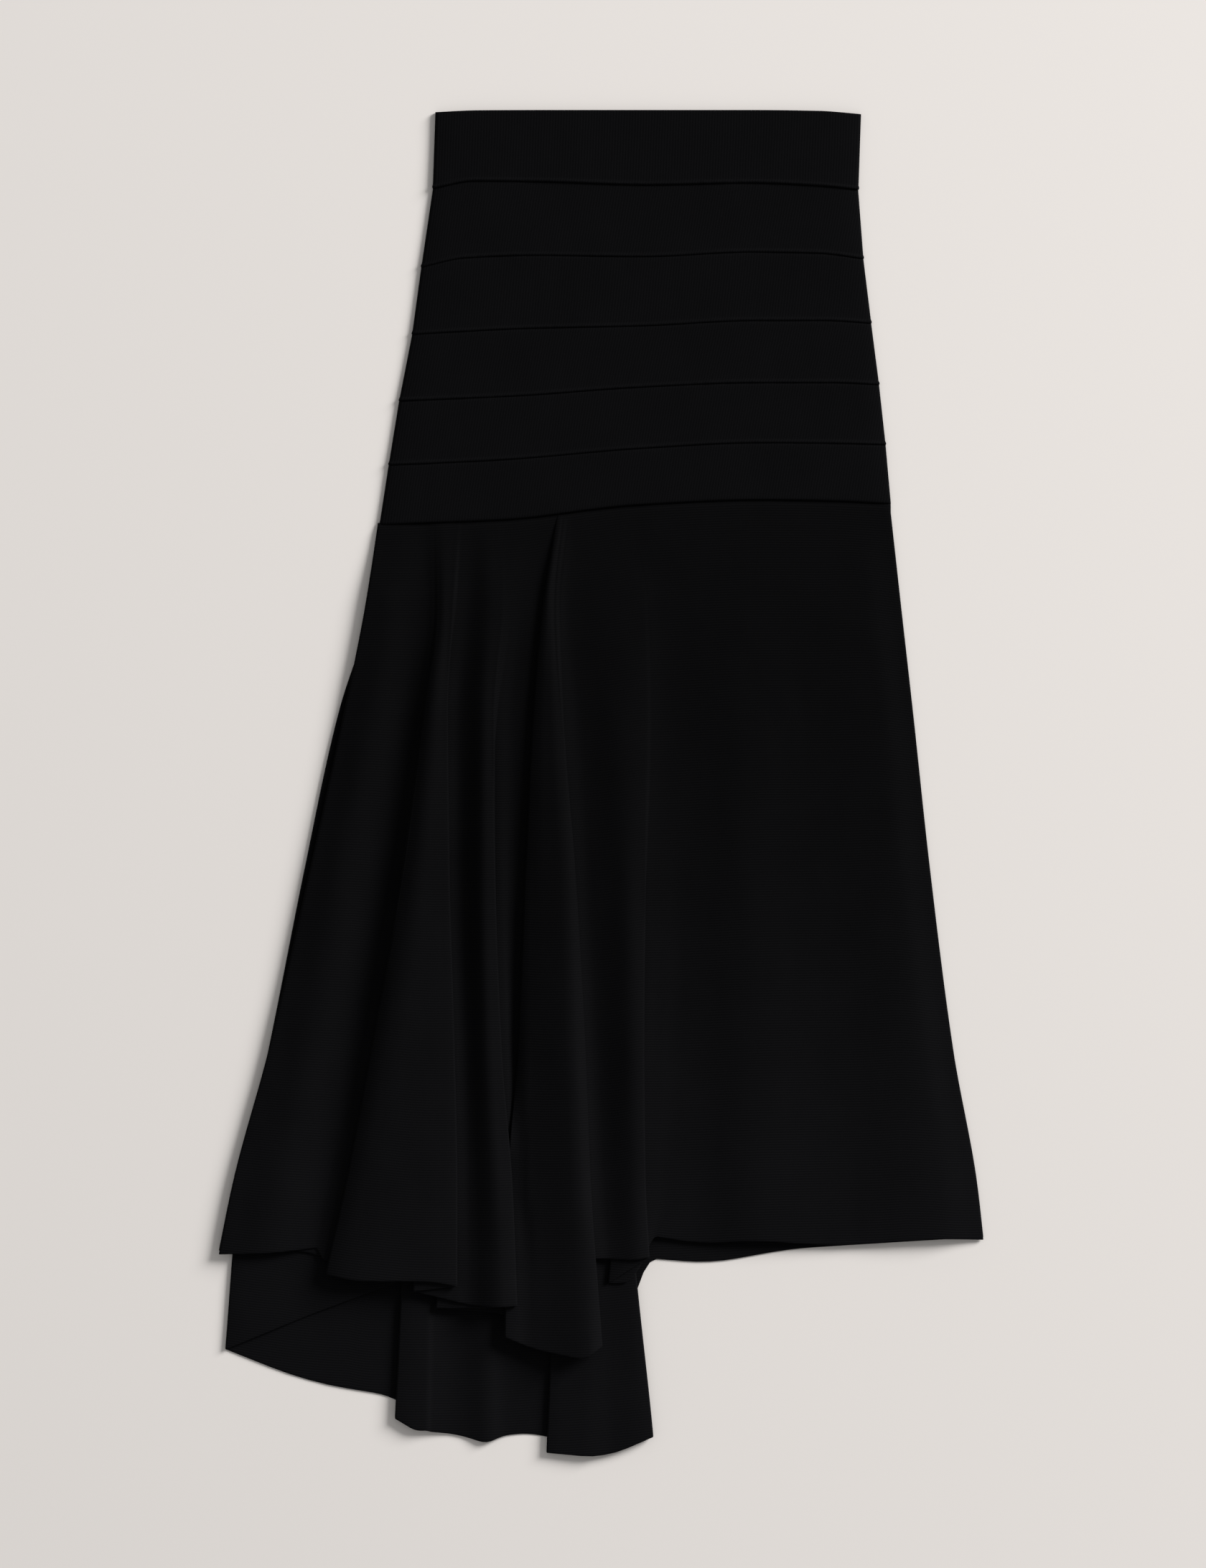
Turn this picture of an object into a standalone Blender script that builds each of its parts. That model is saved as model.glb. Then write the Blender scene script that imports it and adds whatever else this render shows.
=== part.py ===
"""Knitted midi skirt, laid flat with its front up.

The waistband, five yoke bands and the flared skirt are each cut as a front and a back piece. Every piece is a
wall of knitted cloth: a grid of points on its middle surface, moved out to both sides by half its thickness.
Across is +X, the waist is toward +Y, and the skirt lies on the surface at Z = 0.
"""

from collections import namedtuple

import bpy
import numpy as np

MM = 0.001

# Walls and heights, in millimetres
FLARE_WALL = 1.2
YOKE_WALL = 1.6
WAISTBAND_WALL = 2.0
SEAM_GAP = 0.3
LAYER = 2.0  # height from one lying layer of the flared skirt to the next
TURN_LEG = 1.1  # how far from its edge a sharp fold starts to round over
LARGEST_LEG = 0.48  # largest share of the cloth between two corners that one of them may round over

# A side edge is rounded on its outer face: distance in from the edge and share of the wall left there
SIDE_EDGE = ((0.0, 0.35), (0.5, 0.8), (1.5, 1.0))

# Seams that run across, as drops below the waist's top edge. Each row runs from the left edge to the right one
# and gives the drop at these shares of the width.
SEAM_SHARES = (0.0, 0.1, 0.25, 0.5, 0.75, 0.9, 1.0)
Seam = namedtuple("Seam", "name left right drops")
SEAMS = (
    Seam("waist", -162, 163, (1.5, 0.2, 0.0, 0.0, 0.0, 0.6, 3.0)),
    Seam("seam_1", -164, 161, (60.0, 54.5, 55.0, 57.5, 56.0, 58.0, 61.0)),
    Seam("seam_2", -173, 165, (120.5, 113.5, 111.5, 112.5, 109.0, 110.0, 114.0)),
    Seam("seam_3", -180, 171, (172.0, 170.0, 167.5, 165.5, 161.5, 161.5, 163.5)),
    Seam("seam_4", -190, 177, (223.0, 221.5, 219.0, 212.5, 209.0, 209.0, 210.5)),
    Seam("seam_5", -198, 182, (272.0, 270.5, 267.5, 259.5, 255.0, 255.5, 256.5)),
    Seam("join", -205, 186, (317.5, 316.0, 313.5, 302.5, 298.5, 299.5, 301.5)),
)
BAND_COLUMNS = 12

# The raised welt along a band's lower seam: distance above the seam and rise
WELT = ((3.4, 0.0), (2.4, 0.8), (1.2, 1.0), (0.0, 0.3))

# Fold lines of the flared skirt, from the left edge along the cloth to the right edge.
# across: place at these drops and at the hem; hem: the line's own drop there.
# layers: height at the lower drops and at the hem, counted in lying layers.
# turn: 1 where the cloth doubles back upward, -1 where it doubles back downward, 0 on a soft ridge or valley. The
# turns come in pairs, and a doubling is as wide as the first line of its pair lies to the right of the second.
# soft: how far from the line the cloth starts to bend.
ACROSS_DROPS = (308, 380, 460, 580, 720, 820)
LAYER_DROPS = (308, 380, 580, 720)
TURN_OVERLAP = 5.0  # width at which a doubling reaches its full height
TURN_SPREAD = 0.75  # half the cloth between the two corners of a doubling that has not begun
Fold = namedtuple("Fold", "name across hem layers turn soft")
FRONT_FOLDS = (
    Fold("left_edge", (-205, -216, -232, -258, -290, -317, -328), 876, (2.75, 2.75, 2.75, 2.75), 0, 0),
    Fold("left_panel", (-185, -194, -210, -231, -258, -278, -288), 875, (2.7, 3.5, 3.7, 3.7), 0, 60),
    Fold("valley_1", (-170, -169, -179, -194, -218, -243, -253), 871, (1.3, 1.3, 2.8, 2.8), 0, 14),
    Fold("ripple", (-167, -166, -176, -191, -213, -236, -249), 880, (1.5, 1.7, 3.1, 3.2), 0, 3),
    Fold("under_2", (-164, -163, -173, -188, -204.5, -220, -228), 884, (1.7, 2.3, 2.8, 2.9), 1, 0),
    Fold("fold_2_left", (-161, -160, -170, -186, -211, -230, -246), 891, (2.1, 3.3, 4.9, 5.0), 1, 0),
    Fold("crown_2_left", (-158, -157, -163, -173, -190, -205, -217), 896, (2.9, 4.8, 5.8, 6.0), 0, 30),
    Fold("crown_2_right", (-151, -153, -157, -160, -162, -164, -166), 896, (3.2, 5.6, 6.9, 7.8), 0, 30),
    Fold("fold_2_right", (-145, -149, -153, -152, -148, -146, -146), 900, (2.9, 5.3, 6.4, 7.4), -1, 0),
    Fold("under_3", (-141, -145, -145.5, -153, -166.5, -174, -179), 904, (2.3, 2.6, 4.2, 4.9), -1, 0),
    Fold("valley_2", (-136, -131, -140, -145, -141, -140, -138), 914, (1.4, 1.7, 4.0, 5.4), 0, 10),
    Fold("ridge_3", (-126, -119, -127, -127, -124, -121, -119), 916, (2.6, 4.2, 5.8, 7.1), 0, 12),
    Fold("fold_3_right", (-116, -112, -118, -117, -112, -104, -100), 915, (2.4, 4.6, 5.8, 7.2), -1, 0),
    Fold("return_3", (-113, -109, -117, -116.5, -116, -113, -115), 916, (2.3, 3.2, 4.6, 6.0), 0, 3),
    Fold("return_3_inner", (-110, -106, -111, -118.5, -123, -124, -128), 917, (2.2, 3.0, 4.1, 4.7), 0, 4),
    Fold("under_strip", (-107, -103, -107, -121, -131, -145, -162), 917, (2.2, 1.4, 3.0, 3.0), -1, 0),
    Fold("strip", (-100, -95, -102, -108, -106, -105, -111), 921, (2.3, 2.2, 3.0, 3.0), 0, 10),
    Fold("valley_3", (-85, -84, -93, -97, -101, -99, -92), 925, (1.2, 1.2, 2.3, 3.0), 0, 6),
    Fold("under_4", (-79, -81, -92, -91.5, -88, -84, -78), 929, (1.3, 1.8, 2.4, 3.0), 1, 0),
    Fold("fold_4_left", (-74, -78, -87, -92, -99, -107, -109), 939, (1.8, 3.5, 4.5, 5.0), 1, 0),
    Fold("crown_4_left", (-71, -75, -82, -84, -86, -89, -88), 948, (2.6, 3.9, 4.9, 5.5), 0, 8),
    Fold("crown_4_right", (-68, -72, -70, -63, -58, -54, -48), 956, (3.1, 5.4, 6.5, 7.6), 0, 25),
    Fold("fold_4_right", (-64, -69, -65, -56, -48, -44, -35), 946, (2.6, 4.4, 5.5, 6.8), -1, 0),
    Fold("under_5", (-60, -65, -59, -56.5, -56, -57, -58), 879, (2.1, 2.0, 3.5, 4.0), -1, 0),
    Fold("valley_4", (-54, -59, -53, -49, -41, -37, -34), 879, (1.4, 1.9, 3.6, 4.9), 0, 8),
    Fold("ridge_5", (-29, -16, -18, -14, -13, -10, -9), 880, (2.2, 3.3, 5.0, 5.3), 0, 12),
    Fold("fold_5_right", (-18, -3, -1, -2, -3, -2, 1), 878, (1.6, 2.4, 4.9, 5.2), -1, 0),
    Fold("under_panel", (-13, 1, 3, 3, -4, -22, -30), 898, (1.4, 1.6, 2.8, 3.0), -1, 0),
    Fold("panel_corner", (-9, 5, 8, 8, 1, -11, -14), 898, (1.2, 1.3, 2.9, 3.0), 0, 3),
    Fold("panel_step", (-4, 9, 13, 15, 9, 2, -3), 881, (1.1, 1.1, 2.3, 2.7), 0, 4),
    Fold("panel_start", (3, 15, 20, 23, 20, 13, 4), 862, (1.0, 1.0, 1.4, 1.9), 0, 5),
    Fold("flute_valley_1", (21, 32, 37, 42, 43, 40, 40), 868, (1.0, 1.0, 1.0, 1.0), 0, 20),
    Fold("flute_ridge_1", (59, 70, 76, 79, 81, 81, 81), 865, (1.2, 1.5, 1.8, 2.2), 0, 40),
    Fold("flute_valley_2", (103, 112, 120, 128, 136, 142, 145), 870, (1.0, 1.0, 1.0, 1.0), 0, 40),
    Fold("flute_ridge_2", (153, 169, 178, 189, 205, 213, 219), 864, (1.1, 1.3, 1.5, 1.8), 0, 40),
    Fold("right_edge", (186, 194, 203, 216, 234, 252, 257), 865, (0.75, 0.75, 0.75, 0.75), 0, 0),
)
BACK_FOLDS = (
    Fold("left_edge", (-205, -216, -232, -258, -290, -317, -328), 873, (2.0, 2.0, 2.0, 2.0), 0, 0),
    Fold("return_middle", (-202, -213, -226, -240, -254, -262, -260), 873, (2.0, 2.0, 2.0, 2.0), 0, 10),
    Fold("under_return", (-199, -210, -219, -227, -228, -210, -193), 898, (2.0, 2.0, 2.0, 2.0), -1, 0),
    Fold("middle_layer", (-196, -210, -229, -246, -262, -270, -260), 923, (1.0, 1.0, 1.0, 1.0), 0, 10),
    Fold("left_fold", (-193, -210, -236, -262, -290, -312, -323), 949, (0.0, 0.0, 0.0, 0.0), -1, 0),
    Fold("floor_left", (-188, -205, -221, -238, -251, -254, -260), 974, (0.0, 0.0, 0.0, 0.0), 0, 20),
    Fold("floor_valley", (-182, -184, -185, -188, -193, -196, -199), 984, (0.0, 0.0, 0.0, 0.0), 0, 8),
    Fold("under_hem_1", (-176, -176, -177, -175.5, -176.5, -178, -178), 996, (0.0, 0.0, 0.0, 0.0), 1, 0),
    Fold("hem_1_left", (-171, -171, -172, -173, -176.5, -184, -193), 1002, (0.0, 0.0, 2.0, 2.0), 1, 0),
    Fold("hem_1_crown", (-167, -167, -168, -169, -172, -173, -178), 1011, (0.0, 0.0, 2.1, 2.2), 0, 5),
    Fold("hem_1_crease", (-162, -162, -163, -164, -165, -166, -169), 1011, (0.0, 0.0, 1.9, 2.0), 0, 1.5),
    Fold("hem_1_foot", (-157, -157, -158, -160, -161, -162, -166), 1012, (0.0, 0.0, 1.2, 1.3), 0, 2),
    Fold("hem_valley", (-148, -148, -148, -147, -147, -147, -146), 1014, (0.0, 0.0, 0.0, 0.0), 0, 8),
    Fold("hem_ridge", (-137, -135, -133, -130, -129, -127, -123), 1021, (0.0, 0.0, 1.0, 1.7), 0, 12),
    Fold("hem_crease", (-127, -123, -119, -116, -114, -112, -111), 1015, (0.0, 0.0, 0.0, 0.2), 0, 3),
    Fold("hem_flat", (-110, -107, -103, -99, -97, -95, -92), 1013, (0.0, 0.0, 0.0, 0.0), 0, 10),
    Fold("under_hem_2", (-84, -80, -77, -68.5, -63.5, -59, -56), 1020, (0.0, 0.0, 0.0, 0.0), 1, 0),
    Fold("hem_2_left", (-78, -74, -71, -66, -62, -68, -77), 1028, (0.0, 0.0, 2.0, 2.0), 1, 0),
    Fold("hem_2_crown", (-60, -54, -49, -42, -40, -36, -33), 1032, (0.0, 0.0, 2.1, 2.1), 0, 15),
    Fold("hem_2_right", (-38, -31, -26, -20, -16, -14, 4), 1016, (0.0, 0.0, 2.0, 2.0), -1, 0),
    Fold("under_right", (-28, -22, -18, -13, -15, -26, -31), 1000, (0.0, 0.0, 0.0, 0.0), -1, 0),
    Fold("right_step", (-14, -9, -4, 1, 0, -4, -3), 879, (0.0, 0.0, 0.0, 0.0), 0, 5),
    Fold("right_valley", (21, 26, 31, 35, 40, 46, 48), 883, (0.0, 0.0, 0.0, 0.0), 0, 10),
    Fold("right_middle", (76, 81, 87, 92, 98, 103, 109), 872, (0.0, 0.0, 0.0, 0.0), 0, 10),
    Fold("right_outer", (142, 153, 161, 172, 186, 197, 205), 866, (0.0, 0.0, 0.0, 0.0), 0, 10),
    Fold("right_edge", (186, 194, 203, 216, 234, 252, 257), 863, (0.0, 0.0, 0.0, 0.0), 0, 0),
)
JOIN_LAYER_FRONT = 1.0
JOIN_LAYER_BACK = 0.0
FLARE_ROWS = 12
TURN_STEPS = 2
SOFT_STEPS = 1

# Colour and finish of the knit, the same yarn throughout
FRONT_KNIT = (0.0037, 0.0037, 0.0042, 1.0)
BACK_KNIT = (0.0034, 0.0034, 0.0039, 1.0)
KNIT_ROUGHNESS = 0.92
SHARP_ANGLE = 50


def clear_scene():
    for item in list(bpy.data.objects):
        bpy.data.objects.remove(item, do_unlink=True)


def knit_material(name, colour):
    material = bpy.data.materials.new(name)
    material.use_nodes = True
    shader = material.node_tree.nodes["Principled BSDF"]
    shader.inputs["Base Color"].default_value = colour
    shader.inputs["Roughness"].default_value = KNIT_ROUGHNESS
    shader.inputs["Metallic"].default_value = 0.0
    return material


def smooth_step(value):
    value = np.clip(value, 0.0, 1.0)
    return value * value * (3.0 - 2.0 * value)


def smooth_curve(places, values, wanted):
    """Values at the wanted places on a smooth curve that never swings past its given points."""
    places = np.asarray(places, float)
    values = np.asarray(values, float)
    steps = np.diff(values) / np.diff(places)
    slopes = np.zeros(len(values))
    same_way = steps[:-1] * steps[1:] > 0.0
    sums = np.where(same_way, steps[:-1] + steps[1:], 1.0)
    slopes[1:-1] = np.where(same_way, 2.0 * steps[:-1] * steps[1:] / sums, 0.0)
    slopes[0] = steps[0]
    slopes[-1] = steps[-1]
    wanted = np.clip(wanted, places[0], places[-1])
    index = np.clip(np.searchsorted(places, wanted) - 1, 0, len(steps) - 1)
    span = np.diff(places)[index]
    t = (wanted - places[index]) / span
    return (
        (1 + 2 * t) * (1 - t) ** 2 * values[index]
        + t * (1 - t) ** 2 * span * slopes[index]
        + t * t * (3 - 2 * t) * values[index + 1]
        + t * t * (t - 1) * span * slopes[index + 1]
    )


def seam_drop(seam, across):
    share = (across - seam.left) / (seam.right - seam.left)
    return smooth_curve(SEAM_SHARES, seam.drops, share)


def round_corners(corners, legs, steps):
    """Points along each row of corners, with each inner corner of one step or more rounded over by an arc."""
    found = [corners[:, 0]]
    for i in range(1, corners.shape[1] - 1):
        at = corners[:, i]
        if not steps[i]:
            found.append(at)
            continue
        before = corners[:, i - 1] - at
        after = corners[:, i + 1] - at
        lengths = [np.hypot(side[:, 0], side[:, 2])[:, None] for side in (before, after)]
        leg = np.minimum(legs[i], LARGEST_LEG * np.minimum(*lengths))
        before *= leg / lengths[0]
        after *= leg / lengths[1]
        # The middle of the arc lies on the line to the corner. This is the weight that an exact arc gives it.
        weight = np.linalg.norm((before - after)[:, [0, 2]], axis=1, keepdims=True) / (2 * leg)
        for step in range(steps[i] + 1):
            t = step / steps[i]
            pull = 2 * t * (1 - t) * weight
            moved = (1 - t) ** 2 * before + t * t * after
            found.append(at + moved / ((1 - t) ** 2 + pull + t * t))
    found.append(corners[:, -1])
    return np.stack(found, axis=1)


def fold_line(fold, join_layer, shares):
    """Points of one fold line as across, drop and layers, for each share of the way from the join to the hem."""
    top = seam_drop(SEAMS[-1], fold.across[0]) + SEAM_GAP
    drop = top + shares * (fold.hem - top)
    across = smooth_curve(ACROSS_DROPS + (fold.hem,), fold.across, drop)
    layers = smooth_curve(LAYER_DROPS + (fold.hem,), (join_layer,) + fold.layers, drop)
    return np.stack([across, drop, layers], axis=1)


def on_middle_surface(line, aside=0.0, up=0.0):
    """Points of the middle surface at a fold line, moved aside in millimetres and up in layers."""
    across, drop, layers = line.T
    return np.stack([across + aside, -drop, FLARE_WALL / 2 + LAYER * (layers + up)], axis=1)


def doublings(folds, lines):
    """How far each doubling has grown along its two lines, from 0 to 1, by the number of the line."""
    turns = [number for number, fold in enumerate(folds) if fold.turn]
    found = {}
    for first, second in zip(turns[::2], turns[1::2]):
        overlap = lines[first][:, 0] - lines[second][:, 0]
        grown = smooth_step(overlap / TURN_OVERLAP)
        found[first] = (grown, (0.0, folds[first].turn))
        found[second] = (grown, (-folds[second].turn, 0.0))
    return found


def side_edge(edge, inward):
    """Points of a side edge, in from the edge, for the columns where the wall is rounded."""
    return [edge + np.array([inward * distance, 0.0, 0.0]) for distance, _ in SIDE_EDGE]


def flare_grid(folds, join_layer):
    """Middle surface of a flared panel."""
    shares = np.linspace(0.0, 1.0, FLARE_ROWS + 1)
    lines = [fold_line(fold, join_layer, shares) for fold in folds]
    grown_at = doublings(folds, lines)
    corners = []
    legs = []
    steps = []
    for number, fold in enumerate(folds[1:-1], 1):
        found = [on_middle_surface(lines[number])]
        if fold.turn:
            grown, (up_before, up_after) = grown_at[number]
            spread = TURN_SPREAD * (1.0 - grown)
            found = [
                on_middle_surface(lines[number], -spread, up_before * grown),
                on_middle_surface(lines[number], spread, up_after * grown),
            ]
        corners += found
        legs += [fold.soft or TURN_LEG] * len(found)
        steps += [SOFT_STEPS if fold.soft else TURN_STEPS] * len(found)
    left = side_edge(on_middle_surface(lines[0]), 1.0)
    right = side_edge(on_middle_surface(lines[-1]), -1.0)
    plain = [0] * len(SIDE_EDGE)
    corners = left + corners + right[::-1]
    return round_corners(np.stack(corners, axis=1), plain + legs + plain, plain + steps + plain)


def band_grid(upper, lower, height, welt):
    """Middle surface of a band between two seams, and how far each of its rows is raised."""
    top = np.array(upper.drops) + SEAM_GAP / 2
    bottom = np.array(lower.drops) - SEAM_GAP / 2
    rows = [(top, 0.0)] + [(bottom - above, rise) for above, rise in welt or ((0.0, 0.0),)]
    distances = np.array([distance for distance, _ in SIDE_EDGE])
    lines = []
    for drops, _ in rows:
        down = np.mean(drops - top) / np.mean(bottom - top)
        left = upper.left + (lower.left - upper.left) * down
        right = upper.right + (lower.right - upper.right) * down
        middle = np.linspace(left, right, BAND_COLUMNS + 1)[1:-1]
        across = np.concatenate([left + distances, middle, right - distances[::-1]])
        drop = smooth_curve(SEAM_SHARES, drops, (across - left) / (right - left))
        lines.append(np.stack([across, -drop, np.full(len(across), height)], axis=1))
    return np.stack(lines), np.array([rise for _, rise in rows])


def way_along(middle):
    """Direction of each row at its points. The nearer of a point's two neighbours counts for more."""
    steps = np.diff(middle, axis=1)
    lengths = np.linalg.norm(steps, axis=2, keepdims=True)
    ways = steps / lengths
    inside = ways[:, :-1] * lengths[:, 1:] + ways[:, 1:] * lengths[:, :-1]
    return np.concatenate([ways[:, :1], inside, ways[:, -1:]], axis=1)


def wall_from_grid(middle, thickness, outer_up, rise=0.0):
    """Points and faces of a closed wall around a grid of middle points.

    The outer face is the upper one where outer_up is true. It is raised by rise and rounded off at the sides.
    """
    normal = np.cross(np.gradient(middle, axis=0), way_along(middle))
    normal /= np.linalg.norm(normal, axis=2, keepdims=True)
    outward = normal if outer_up else -normal
    rows, columns = middle.shape[:2]
    left = np.ones(columns)
    left[: len(SIDE_EDGE)] = [share for _, share in SIDE_EDGE]
    share = (left * left[::-1])[None, :, None]
    inner = middle - outward * thickness / 2
    outer = inner + outward * (thickness + np.reshape(rise, (-1, 1, 1))) * share
    upper, lower = (outer, inner) if outer_up else (inner, outer)
    points = np.concatenate([upper.reshape(-1, 3), lower.reshape(-1, 3)])
    points[:, 2] = np.maximum(points[:, 2], 0.0)
    index =np.arange(len(points)).reshape(2, rows, columns)
    faces = []
    for row in range(rows - 1):
        for column in range(columns - 1):
            corners = ((row, column), (row + 1, column), (row + 1, column + 1), (row, column + 1))
            faces.append([index[(0,) + corner] for corner in corners])
            faces.append([index[(1,) + corner] for corner in reversed(corners)])
    rim = [(0, column) for column in range(columns)]
    rim += [(row, columns - 1) for row in range(1, rows)]
    rim += [(rows - 1, column) for column in range(columns - 2, -1, -1)]
    rim += [(row, 0) for row in range(rows - 2, 0, -1)]
    for here, there in zip(rim, rim[1:] + rim[:1]):
        faces.append([index[(0,) + here], index[(0,) + there], index[(1,) + there], index[(1,) + here]])
    return points, faces


def bands():
    """Walls of the waistband and the yoke bands, front and back."""
    found = {}
    names = ["waistband"] + [f"yoke_band_{number}" for number in range(1, len(SEAMS) - 1)]
    for name, upper, lower in zip(names, SEAMS, SEAMS[1:]):
        wall = WAISTBAND_WALL if name == "waistband" else YOKE_WALL
        welt = WELT if lower is not SEAMS[-1] else ()
        middle, rise = band_grid(upper, lower, wall * 3 / 2 + SEAM_GAP, welt)
        found[f"{name}_front"] = wall_from_grid(middle, wall, True, rise)
        middle, _ = band_grid(upper, lower, wall / 2, ())
        found[f"{name}_back"] = wall_from_grid(middle, wall, False)
    return found


def flares():
    """Walls of the flared skirt's front and back panels."""
    return {
        "flare_front": wall_from_grid(flare_grid(FRONT_FOLDS, JOIN_LAYER_FRONT), FLARE_WALL, True),
        "flare_back": wall_from_grid(flare_grid(BACK_FOLDS, JOIN_LAYER_BACK), FLARE_WALL, False),
    }


def add_piece(name, points, faces, material):
    mesh = bpy.data.meshes.new(name)
    mesh.from_pydata([tuple(point) for point in points * MM], [], faces)
    mesh.materials.append(material)
    mesh.shade_smooth()
    mesh.set_sharp_from_angle(angle=np.radians(SHARP_ANGLE))
    piece = bpy.data.objects.new(name, mesh)
    bpy.context.scene.collection.objects.link(piece)


def main():
    clear_scene()
    walls = {**bands(), **flares()}
    everything = np.concatenate([points for points, _ in walls.values()])
    centre = (everything.min(axis=0) + everything.max(axis=0)) / 2
    centre[2] = 0.0
    for name, (points, faces) in walls.items():
        colour = BACK_KNIT if name.endswith("_back") else FRONT_KNIT
        add_piece(name, points - centre, faces, knit_material(name, colour))


main()
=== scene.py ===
"""Knitted midi skirt, laid flat with its front up, as a photographed garment.

Each CAD node is replaced by a thin knitted shell on the same form: the same seams and fold lines, with rounder
folds, closed side edges, raised seams, soft creases and a knit surface.
"""

import math
from collections import namedtuple

import bpy
import numpy as np
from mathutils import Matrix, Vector, noise


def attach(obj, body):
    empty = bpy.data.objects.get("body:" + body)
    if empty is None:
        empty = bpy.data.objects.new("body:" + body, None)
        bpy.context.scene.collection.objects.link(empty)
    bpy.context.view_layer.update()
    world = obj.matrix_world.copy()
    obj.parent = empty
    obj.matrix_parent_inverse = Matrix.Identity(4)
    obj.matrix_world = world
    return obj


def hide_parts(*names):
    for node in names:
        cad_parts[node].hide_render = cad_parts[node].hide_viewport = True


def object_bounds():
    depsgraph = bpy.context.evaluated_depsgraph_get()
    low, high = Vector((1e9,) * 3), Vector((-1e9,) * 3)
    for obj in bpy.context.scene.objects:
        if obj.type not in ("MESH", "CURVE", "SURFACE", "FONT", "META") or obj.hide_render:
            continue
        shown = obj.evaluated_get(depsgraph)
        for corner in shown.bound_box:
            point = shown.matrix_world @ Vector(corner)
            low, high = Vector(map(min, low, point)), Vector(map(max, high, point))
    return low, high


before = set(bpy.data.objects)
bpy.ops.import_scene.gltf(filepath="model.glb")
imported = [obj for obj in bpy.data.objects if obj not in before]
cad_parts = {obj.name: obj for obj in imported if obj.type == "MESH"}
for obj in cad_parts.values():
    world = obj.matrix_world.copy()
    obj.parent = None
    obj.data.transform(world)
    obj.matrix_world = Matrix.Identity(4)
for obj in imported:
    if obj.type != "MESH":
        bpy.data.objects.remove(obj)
cad_box = [list(corner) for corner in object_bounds()]

MM = 0.001

# Walls and heights, in millimetres
FLARE_WALL = 1.1
YOKE_WALL = 1.5
WAISTBAND_WALL = 1.9
SEAM_GAP = 0.3
LAYER = 2.0
TURN_LEG = 1.1
LARGEST_LEG = 0.49
EDGE_WIDTH = 1.6  # how far in from a side edge the cloth starts to turn down to the other side's
EDGE_POINTS = 5
TUCK = 1.6  # how far a piece goes on under the seam above it
TUCK_FALL = 0.7

# Seams that run across, as drops below the waist's top edge. Each row runs from the left edge to the right one
# and gives the drop at these shares of the width.
SEAM_SHARES = (0.0, 0.1, 0.25, 0.5, 0.75, 0.9, 1.0)
Seam = namedtuple("Seam", "name left right drops")
SEAMS = (
    Seam("waist", -162, 163, (1.5, 0.2, 0.0, 0.0, 0.0, 0.6, 3.0)),
    Seam("seam_1", -164, 161, (60.0, 54.5, 55.0, 57.5, 56.0, 58.0, 61.0)),
    Seam("seam_2", -173, 165, (120.5, 113.5, 111.5, 112.5, 109.0, 110.0, 114.0)),
    Seam("seam_3", -180, 171, (172.0, 170.0, 167.5, 165.5, 161.5, 161.5, 163.5)),
    Seam("seam_4", -190, 177, (223.0, 221.5, 219.0, 212.5, 209.0, 209.0, 210.5)),
    Seam("seam_5", -198, 182, (272.0, 270.5, 267.5, 259.5, 255.0, 255.5, 256.5)),
    Seam("join", -205, 186, (317.5, 316.0, 313.5, 302.5, 298.5, 299.5, 301.5)),
)
BAND_COLUMNS = 170
BAND_ROWS = 22
PUFF = 1.5  # how far the front stands up from its side edges
PUFF_REACH = 8.0
SAG = 0.22  # how far the front of a band dips between its seams
BUMP_SHARE = 0.45  # unevenness of a ridge, as a share of its height, and the lengths it changes over
BUMP_ACROSS = 2.3
BUMP_DOWN = 90.0

# The raised ridge along a band's lower seam: distance above the seam and rise
RIDGE = ((3.4, 0.0), (2.8, 0.08), (2.3, 0.3), (1.8, 0.55), (1.3, 0.7), (0.8, 0.65), (0.4, 0.4), (0.1, 0.05))

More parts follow.
